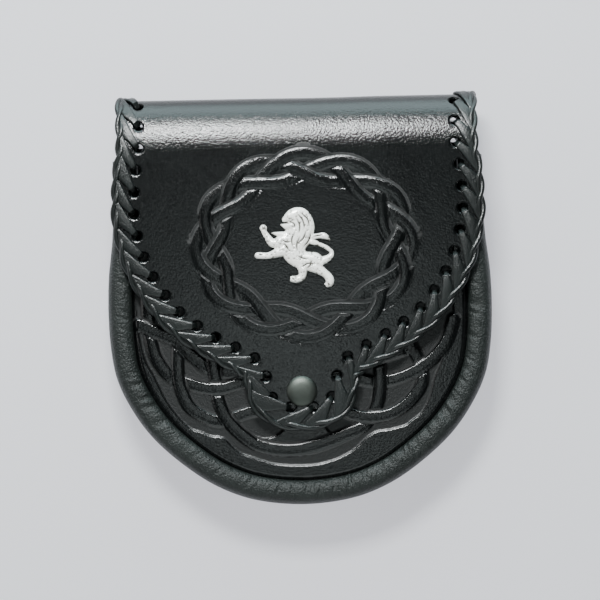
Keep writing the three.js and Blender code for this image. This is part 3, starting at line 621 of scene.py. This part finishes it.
# The punch is straight in the leather's lower half and flares above it, which gives each hole a worn rim.
punches = []
bpy.ops.object.select_all(action="DESELECT")
bpy.ops.mesh.primitive_cylinder_add(vertices=28, radius=hole_radius * mm, depth=4 * mm)
punch = bpy.context.object
punch.name = "hole_punch"
bpy.ops.object.mode_set(mode="EDIT")
bpy.ops.mesh.select_all(action="DESELECT")
bpy.ops.object.mode_set(mode="OBJECT")
for vertex in punch.data.vertices:
    vertex.select = vertex.co.z > 0
for polygon in punch.data.polygons:
    polygon.select = polygon.normal.z > 0.9
bpy.ops.object.mode_set(mode="EDIT")
bpy.ops.mesh.select_mode(type="FACE")
bpy.ops.transform.translate(value=(0, 0, -1.75 * mm))
for grow, rise in ((1.04, 0.22), (1.08, 0.2), (1.12, 0.2), (1.2, 0.6)):
    bpy.ops.mesh.extrude_region_move(TRANSFORM_OT_translate={"value": (0, 0, rise * mm)})
    bpy.ops.transform.resize(value=(grow, grow, 1))
bpy.ops.mesh.select_mode(type="VERT")
bpy.ops.object.mode_set(mode="OBJECT")


def seat_on_flap(x, run):
    """The turn and place that stand a piece on the flap's middle layer, its Z pointing out."""
    foot, head = on_flap(x, run, 0), on_flap(x, run, 1)
    turned = Vector((0, 0, 1)).rotation_difference(Vector(head - foot)).to_matrix().to_4x4()
    return Matrix.Translation(Vector(foot) * mm) @ turned


for x, run in holes:
    copy = punch.copy()
    copy.data = punch.data.copy()
    bpy.context.collection.objects.link(copy)
    copy.data.transform(seat_on_flap(x, run))
    punches.append(copy)
bpy.data.objects.remove(punch)
punches = join(punches)
bpy.ops.object.select_all(action="DESELECT")
bpy.context.view_layer.objects.active = flap
flap.select_set(True)
cut = flap.modifiers.new("Punched holes", "BOOLEAN")
cut.operation, cut.object, cut.solver = "DIFFERENCE", punches, "MANIFOLD"
bpy.ops.object.modifier_apply(modifier=cut.name)
bpy.data.objects.remove(punches)
finish(flap, angle=40, close=False)
fit(flap, "tooled_leather", tooled_leather, "flap")

# The lacing: a long flat thong passed through each hole and round the edge. On the front each turn shows
# as a flat wedge that narrows to its hole, and the edge is bound by two strands twisted together.
lace_leather = leather("Lace leather", (0.0022, 0.0032, 0.0030), (0.0060, 0.0080, 0.0076),
                       rough=0.30, grain_size=0.7, grain_depth=0.11)
lace_thick, lace_lift = 1.1, 1.75


def band(name, path, across, lifts, crown=0.12, sides=16):
    """A flat thong along a path on the flap, as wide each way as across says, with rounded edges."""
    turn = np.linspace(0, 2 * math.pi, sides, endpoint=False) + math.pi / sides
    flat, tall = np.cos(turn), np.sin(turn)
    flat, tall = np.sign(flat) * abs(flat) ** 0.28, np.sign(tall) * abs(tall) ** 0.6
    x = path[:, :1] + across[:, :1] * flat
    run = path[:, 1:] + across[:, 1:] * flat
    lift = lifts[:, None] + tall * lace_thick / 2 + crown * (1 - flat**2) * (tall > 0)
    return tube(name, on_flap(x, run, lift))


def thong(name, start, end, edge_half, hole_half, lifts, turned_at):
    """One turn of the lacing: its end at the edge lies along the edge, and its other end is narrow. It has
    turned square to its own run by the given share of it."""
    share = np.linspace(0, 1, len(lifts))[:, None]
    path = lace_place(*start) + (lace_place(*end) - lace_place(*start)) * share
    along_edge = lace_place(start[0] + 0.1, start[1]) - lace_place(start[0] - 0.1, start[1])
    along_edge *= edge_half / np.linalg.norm(along_edge)
    straight = path[-1] - path[0]
    square = np.array([straight[1], -straight[0]]) * hole_half / np.linalg.norm(straight)
    if along_edge @ square < 0:
        square = -square
    across = along_edge + (square - along_edge) * ease(share, 0, turned_at)
    return band(name, path, across * (1 - 0.3 * ease(share, 0.85, 1)), lifts)


laces = []
share = np.linspace(0, 1, 17)
for number in range(lace_count):
    if number > 0:
        rise = lace_lift + 0.3 * np.sin(share * math.pi) - 2.4 * ease(share, 0.86, 1.03)
        laces.append(thong("front_lace", (number - 1.15, 1.7), (number, hole_inset - 0.2), edge_half=5.0,
                           hole_half=1.4, lifts=rise, turned_at=0.95))
    rise = -lace_lift + 2.6 * ease(share, 0.86, 1.0)
    laces.append(thong("back_lace", (number - 0.1, 1.5), (number, hole_inset - 0.9), edge_half=3.6,
                       hole_half=1.6, lifts=rise, turned_at=1.1))
wind = np.linspace(-0.45, lace_count - 0.55, lace_count * 16)
strand_half, strand_tall = 1.15, 0.85
for strand in range(2):
    phase = math.pi * (wind + strand)
    inset = 1.25 + 0.95 * np.cos(phase)
    lift = 1.35 + 0.55 * np.sin(phase) + 0.35 * np.cos(phase)
    turn = np.linspace(0, 2 * math.pi, 12, endpoint=False)
    at = lace_place(wind[:, None], inset[:, None] + strand_half * np.cos(turn))
    strand_lift = lift[:, None] + strand_tall * np.sin(turn)
    laces.append(tube("edge_strand", on_flap(at[..., 0], at[..., 1], strand_lift)))
lacing = join(laces)
lacing.name = lacing.data.name = "flap_lacing_thong"
fit(lacing, "lace_leather", lace_leather, "flap_lacing")

# The badge: a lion rampant cast in white metal, its limbs rounded, its mane and coat cut with fine
# grooves that have darkened. It stands a little above the flap; its riveted post is not modelled.
badge_height, badge_rise = 35.3, 2.4
badge_x, badge_run = -1.6, fold_reach - 65.6
lion_limbs = {
    "head": [(-0.125, 0.345, 0.035), (-0.03, 0.39, 0.085), (0.06, 0.38, 0.118), (0.09, 0.27, 0.155),
             (0.06, 0.15, 0.16)],
    "jaw": [(-0.165, 0.282, 0.014), (-0.105, 0.265, 0.042), (-0.02, 0.27, 0.06)],
    "body": [(0.05, 0.2, 0.14), (-0.01, 0.075, 0.165), (-0.01, -0.06, 0.15), (0.08, -0.165, 0.11),
             (0.17, -0.2, 0.09)],
    "haunch": [(0.09, -0.13, 0.08), (0.25, -0.175, 0.105), (0.34, -0.2, 0.05)],
    "raised_foreleg": [(-0.1, 0.1, 0.09), (-0.27, 0.06, 0.056), (-0.335, 0.13, 0.042),
                       (-0.375, 0.2, 0.036), (-0.386, 0.245, 0.046)],
    "upper_arm": [(-0.09, 0.14, 0.06), (-0.19, 0.165, 0.034), (-0.28, 0.185, 0.012)],
    "lower_foreleg": [(-0.12, -0.02, 0.085), (-0.225, -0.06, 0.058), (-0.325, -0.092, 0.042),
                      (-0.46, -0.09, 0.042)],
    "near_hindleg": [(0.09, -0.22, 0.085), (0.088, -0.31, 0.052), (0.07, -0.365, 0.046),
                     (0.0, -0.39, 0.044), (-0.065, -0.382, 0.036)],
    "far_hindleg": [(0.21, -0.22, 0.09), (0.3, -0.285, 0.06), (0.37, -0.335, 0.05),
                    (0.415, -0.4, 0.054), (0.41, -0.445, 0.052), (0.365, -0.47, 0.03)],
    "tail": [(0.33, -0.17, 0.05), (0.43, -0.118, 0.036), (0.447, -0.066, 0.027), (0.39, -0.01, 0.026),
             (0.3, 0.035, 0.026), (0.2, 0.07, 0.036)],
    "tuft": [(0.2, 0.125, 0.036), (0.29, 0.137, 0.032), (0.35, 0.138, 0.04), (0.4, 0.112, 0.026),
             (0.425, 0.085, 0.01)],
}
badge_seat = flap_wall / 2 + clearance
parts = []
for limb, limb_rows in lion_limbs.items():
    line, along = smooth_line(np.array(limb_rows) * badge_height, 24)
    half = line[:, 2:]
    flat_along = along[:, :2] / np.linalg.norm(along[:, :2], axis=1)[:, None]
    side = np.stack([-flat_along[:, 1], flat_along[:, 0]], axis=1)
    turn = np.linspace(0, math.pi, 11)
    rise = np.minimum(half * 1.25, badge_rise * (0.80 if limb in ("upper_arm", "tail", "tuft") else 1.0))
    flat, tall = np.cos(turn), np.sin(turn) ** 0.75
    x = badge_x + line[:, :1] + side[:, :1] * flat * half
    run = badge_run + line[:, 1:2] + side[:, 1:] * flat * half
    parts.append(tube("lion_" + limb, on_flap(x, run, badge_seat + tall * rise)))
    for end in (0, -1):
        bpy.ops.object.select_all(action="DESELECT")
        bpy.ops.mesh.primitive_uv_sphere_add(segments=20, ring_count=12, radius=1)
        knob = bpy.context.object
        x, run, half_end = line[end]
        tall_end = float(rise[end][0])
        foot = Vector(on_flap(badge_x + x, badge_run + run, badge_seat)) * mm
        knob.data.transform(Matrix.Translation(foot) @ Matrix.Diagonal(
            (half_end * mm, half_end * mm, tall_end * mm, 1)))
        parts.append(knob)
lion = join(parts)
lion.name = lion.data.name = "lion_casting"
bpy.ops.object.mode_set(mode="EDIT")
bpy.ops.mesh.select_all(action="SELECT")
bpy.ops.mesh.bisect(plane_co=(0, 0, (flap_level + badge_seat) * mm), plane_no=(0, 0, 1), clear_inner=True,
                    use_fill=True)
bpy.ops.object.mode_set(mode="OBJECT")
for kind, values in (("REMESH", {"mode": "VOXEL", "voxel_size": 0.22 * mm}),
                     ("SMOOTH", {"factor": 0.5, "iterations": 5})):
    step = lion.modifiers.new(kind, kind)
    for name, value in values.items():
        setattr(step, name, value)
    bpy.ops.object.modifier_apply(modifier=step.name)
points = np.empty(len(lion.data.vertices) * 3)
lion.data.vertices.foreach_get("co", points)
points = points.reshape(-1, 3) / mm
u = (points[:, 0] - badge_x) / badge_height
v = (points[:, 1] - fold_start - badge_run) / badge_height
cuts = [
    [(-0.055, 0.315), (-0.02, 0.30), (0.0, 0.27), (-0.01, 0.24)],
    [(0.03, 0.42), (0.10, 0.33), (0.12, 0.22)],
    [(0.07, 0.43), (0.16, 0.34), (0.18, 0.24)], [(0.02, 0.36), (0.06, 0.27), (0.05, 0.17)],
    [(0.14, 0.20), (0.10, 0.11), (0.02, 0.04)], [(0.20, 0.19), (0.17, 0.09), (0.10, 0.0)],
    [(0.0, 0.19), (-0.04, 0.10), (-0.03, 0.0)], [(0.06, 0.13), (0.02, 0.03), (0.03, -0.05)],
    [(0.02, -0.10), (0.08, -0.13), (0.16, -0.15)], [(0.08, -0.24), (0.15, -0.20), (0.24, -0.21)],
    [(-0.14, 0.055), (-0.10, 0.01), (-0.08, -0.04)], [(-0.16, 0.10), (-0.11, 0.07), (-0.05, 0.07)],
    [(0.14, -0.26), (0.18, -0.22), (0.20, -0.16)], [(-0.45, -0.075), (-0.42, -0.08), (-0.40, -0.085)],
    [(-0.40, 0.27), (-0.385, 0.24), (-0.38, 0.22)], [(-0.37, 0.27), (-0.365, 0.24), (-0.365, 0.22)],
    [(-0.05, -0.37), (-0.03, -0.385), (-0.02, -0.40)], [(0.39, -0.44), (0.40, -0.46), (0.42, -0.475)],
    [(-0.13, 0.30), (-0.10, 0.305), (-0.07, 0.295)], [(0.22, 0.13), (0.28, 0.14), (0.34, 0.15)],
]
cut_width, cut_steps, cut_deep, pit_count, pit_deep = 0.29, 60, 0.7, 260, 0.34
eye_u, eye_v, eye_width, eye_deep = -0.062, 0.352, 0.42, 0.5
depth = np.zeros(len(points))
for rows in cuts:
    gap, step = nearest_on(smooth_line(rows, cut_steps)[0], np.stack([u, v], axis=1))
    taper = np.sin(math.pi * (0.06 + 0.88 * step / cut_steps))
    depth = np.maximum(depth, hump(gap * badge_height, cut_width) * taper)
eye = hump(np.hypot(u - eye_u, v - eye_v) * badge_height, eye_width)
pits = np.zeros(len(points))
pit_low, pit_high = (-0.48, -0.5, 0.16), (0.46, 0.46, 0.46)
for pit_u, pit_v, wide in np.random.default_rng(19).uniform(pit_low, pit_high, (pit_count, 3)):
    pits = np.maximum(pits, hump(np.hypot(u - pit_u, v - pit_v) * badge_height, wide))
raised = points[:, 2] > flap_level + badge_seat + 0.25
points[:, 2] -= raised * (cut_deep * depth + eye_deep * eye + pit_deep * pits)
lion.data.vertices.foreach_set("co", (points * mm).ravel())
# Painted shade: the casting turns darker low down, near the flap, on top of its darkened grooves and pits.
low_painted_shade = 1 - ease(points[:, 2], flap_level + badge_seat + 0.2, flap_level + badge_seat + 1.3)
tarnish_and_shade_values = lion.data.attributes.new("tarnish_and_shade", "FLOAT", "POINT")
tarnish_and_shade_values.data.foreach_set("value", np.clip(1.5 * depth + eye + 0.9 * pits + 0.7 * low_painted_shade, 0, 1))
finish(lion, angle=60, close=False)
white_metal = bpy.data.materials.new("Cast white metal")
white_metal.use_nodes = True
add, feed = nodes_of(white_metal.node_tree)
cast = feed(add("ShaderNodeGroup", node_tree=grain_group), Size=0.55 * mm)
tarnish_and_shade = add("ShaderNodeAttribute", attribute_name="tarnish_and_shade").outputs["Fac"]
dirt = feed(add("ShaderNodeMapRange"), Value=cast.outputs["Speck"], From_Min=0.60, From_Max=0.70,
            To_Max=0.6).outputs[0]
dark = feed(add("ShaderNodeMath", operation="MAXIMUM"), _0=tarnish_and_shade, _1=dirt).outputs[0]
colour = feed(add("ShaderNodeMix", data_type="RGBA"), Factor=dark, _6=(0.97, 0.96, 0.91, 1),
              _7=(0.07, 0.062, 0.05, 1)).outputs[2]
rough = feed(add("ShaderNodeMapRange"), Value=dark, To_Min=0.24, To_Max=0.7).outputs[0]
bump = feed(add("ShaderNodeBump"), Strength=1.0, Distance=0.03 * mm, Height=cast.outputs["Height"])
shader = feed(white_metal.node_tree.nodes["Principled BSDF"], Base_Color=colour, Roughness=rough,
              Normal=bump.outputs["Normal"])
shader.inputs["Metallic"].default_value = 0.12
fit(lion, "badge_metal", white_metal, "lion_badge")

# The press stud: a domed cap of brushed nickel riveted through the tab to its socket, which clicks over
# a stud fixed to the front panel.
snap_up, snap_radius = 16.8, 6.65
snap_y = fold_start + fold_reach - flap_drop + snap_up
snap_low = flap_level + flap_wall / 2 + 0.25


def turned(name, profile, sides=64):
    """A round part spun from a profile of radius and height rows that starts and ends on the axis."""
    profile = np.array(profile)
    turn = np.linspace(0, 2 * math.pi, sides, endpoint=False)
    radius, level = profile[:, :1], profile[:, 1:]
    corners = np.stack([radius * np.cos(turn), snap_y + radius * np.sin(turn), level + 0 * turn], axis=-1)
    return finish(sheet(name, np.concatenate([corners, corners[:, :1]], axis=1)), angle=50, close=False)


dome = smooth_line([(snap_radius, snap_low), (snap_radius, snap_low + 0.55), (5.9, snap_low + 1.35),
                    (4.2, snap_low + 2.02), (2.0, snap_low + 2.32), (0.0, snap_low + 2.4)], 26)[0]
cap = turned("snap_cap_dome", [(0, snap_low), (5.6, snap_low), *dome])
post = turned("snap_post", [(0, 29.6), (1.9, 29.6), (1.9, snap_low + 0.3), (0, snap_low + 0.3)])
socket = turned("snap_socket", [(2.5, 29.1), (4.5, 29.1), (4.75, 29.35), (4.75, 30.5), (4.5, 30.8),
                                (0, 30.8), (0, 30.2), (2.5, 30.2), (2.5, 29.1)])
stud = turned("snap_stud_button", [(0, 27.9), (4.6, 27.9), (4.79, 28.1), (4.79, 28.6), (4.6, 28.8),
                                   (2.3, 28.8), (2.0, 29.2), (2.2, 29.6), (1.9, 29.95), (0, 29.95)])
nickel = bpy.data.materials.new("Brushed nickel")
nickel.use_nodes = True
add, feed = nodes_of(nickel.node_tree)
worn = feed(add("ShaderNodeGroup", node_tree=grain_group), Size=0.5 * mm)
tone = feed(add("ShaderNodeMapRange"), Value=worn.outputs["Tone"], From_Min=0.3, From_Max=0.7).outputs[0]
colour = feed(add("ShaderNodeMix", data_type="RGBA"), Factor=tone, _6=(0.050, 0.057, 0.050, 1),
              _7=(0.085, 0.094, 0.085, 1)).outputs[2]
rough = feed(add("ShaderNodeMapRange"), Value=worn.outputs["Speck"], To_Min=0.40, To_Max=0.55).outputs[0]
bump = feed(add("ShaderNodeBump"), Strength=0.6, Distance=0.008 * mm, Height=worn.outputs["Speck"])
shader = feed(nickel.node_tree.nodes["Principled BSDF"], Base_Color=colour, Roughness=rough,
              Normal=bump.outputs["Normal"])
shader.inputs["Metallic"].default_value = 1.0
cap = join([cap, post, socket])
fit(cap, "snap_metal", nickel, "snap_cap")
fit(stud, "snap_metal", nickel, "snap_stud")

# The strap loops: two short straps sewn flat to the back panel at their feet and standing clear of it in
# between, so that the wearer's strap can be threaded behind the pouch.
loop_width, loop_length, loop_foot, loop_wall, loop_level = 16, 52, 8, 1.8, 1.3
bend_near, bend_far, bend_level, seam_in, seam_half = 2.6, 6, 1.45, 2, 2.2
loop_middle = (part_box("strap_loop_left")[0].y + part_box("strap_loop_left")[1].y) / 2 / mm
foot_level = back_face - clearance - loop_wall / 2
for node in ("strap_loop_left", "strap_loop_right"):
    low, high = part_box(node)
    middle_x = (low.x + high.x) / 2 / mm
    end, half = loop_length / 2, loop_width / 2
    inner = end - loop_foot
    route = [(inner - bend_far, loop_level), (inner - bend_near, bend_level), (inner, foot_level),
             (end, foot_level)]
    line = smooth_line([(-y, level) for y, level in reversed(route)] + route, 90)
    edge = beside(*line, loop_wall / 2), beside(*line, -loop_wall / 2)
    ring = []
    for x, rows in ((-half, edge[0]), (half, edge[0]), (half, edge[1]), (-half, edge[1])):
        side = np.full(len(rows), middle_x + x)
        ring.append(np.stack([side, loop_middle + rows[:, 0], rows[:, 1]], axis=1))
    loop = tube(node + "_leather", np.stack(ring, axis=1))
    round_off = loop.modifiers.new("Rounded edge", "BEVEL")
    round_off.width, round_off.segments, round_off.limit_method = 0.35 * mm, 2, "ANGLE"
    bpy.ops.object.modifier_apply(modifier=round_off.name)
    fit(loop, "panel_leather", panel_leather, node)
    for way, where in ((-1, "_lower"), (1, "_upper")):
        y = loop_middle + way * (end - loop_foot / 2)
        left, right = middle_x - half + seam_in, middle_x + half - seam_in
        near, far = y - seam_half, y + seam_half
        row = np.array([(left, near), (right, near), (right, far), (left, far), (left, near)])
        path = [np.linspace(a, b, 8, endpoint=False) for a, b in zip(row[:-1], row[1:])]
        path = np.vstack(path + [row[-1:]])
        sewn = stitches(node + where + "_stitches", path, np.gradient(path, axis=0),
                        foot_level - loop_wall / 2, length=1.9, gap=0.9, thick=0.5)
        fit(sewn, "panel_leather", thread)

# The studio: a pale paper floor, a softbox beyond the fold that lights it along its length, a soft glow
# over the flap, dim walls of light all round, and a camera straight above that is turned a little.
bpy.ops.object.select_all(action="DESELECT")
bpy.ops.mesh.primitive_plane_add(size=6, location=(0, 0, -0.0002))
floor = bpy.context.object
floor.name = "studio_floor"
paper = bpy.data.materials.new("Studio paper")
paper.use_nodes = True
shader = paper.node_tree.nodes["Principled BSDF"]
for name, value in (("Base Color", (0.35, 0.352, 0.365, 1)), ("Emission Color", (0.92, 0.92, 1.0, 1)),
                    ("Emission Strength", 0.74), ("Roughness", 0.9)):
    shader.inputs[name].default_value = value
floor.data.materials.append(paper)


def softbox(name, place, size, watts, tint=(1, 1, 1)):
    """A flat rectangular light, out of the camera's sight and turned to face the pouch."""
    light = bpy.data.lights.new(name, "AREA")
    light.shape, light.size, light.size_y, light.energy, light.color = "RECTANGLE", *size, watts, tint
    lamp = bpy.data.objects.new(name, light)
    lamp.location = place
    lamp.rotation_euler = (-Vector(place)).to_track_quat("-Z", "Y").to_euler()
    lamp.visible_camera = False
    bpy.context.collection.objects.link(lamp)


softbox("Long softbox", (-0.088, 0.44, 0.64), (0.214, 0.15), 11.8, (0.97, 1.0, 1.0))
softbox("Far wall", (0, 0.95, 0.30), (1.3, 0.62), 15, (0.76, 0.97, 1.0))
softbox("Overhead glow", (0, -0.042, 0.62), (0.18, 0.10), 0.165, (0.90, 1.0, 0.99))
softbox("Near panel", (0, -0.39, 0.56), (0.6, 0.32), 1.0, (0.90, 1.0, 0.99))
softbox("Near wall", (0, -1.3, 0.6), (1.6, 0.7), 7, (0.95, 1.0, 1.0))
softbox("Left wall", (-1.3, 0.1, 0.6), (0.8, 1.2), 5)
softbox("Right wall", (1.3, 0.1, 0.6), (0.8, 1.2), 0.5)
world = bpy.data.worlds.new("Studio")
bpy.context.scene.world = world
world.use_nodes = True
world.node_tree.nodes["Background"].inputs["Color"].default_value = (0.9, 0.95, 1.0, 1)
world.node_tree.nodes["Background"].inputs["Strength"].default_value = 0.02

camera = bpy.data.objects.new("Camera", bpy.data.cameras.new("Camera"))
camera.data.lens, camera.data.sensor_width = 205.7, 36
camera.location = (0, -0.00025, 1.518)
camera.rotation_euler = (0, 0, math.radians(-1.2))
bpy.context.collection.objects.link(camera)
bpy.context.scene.camera = camera
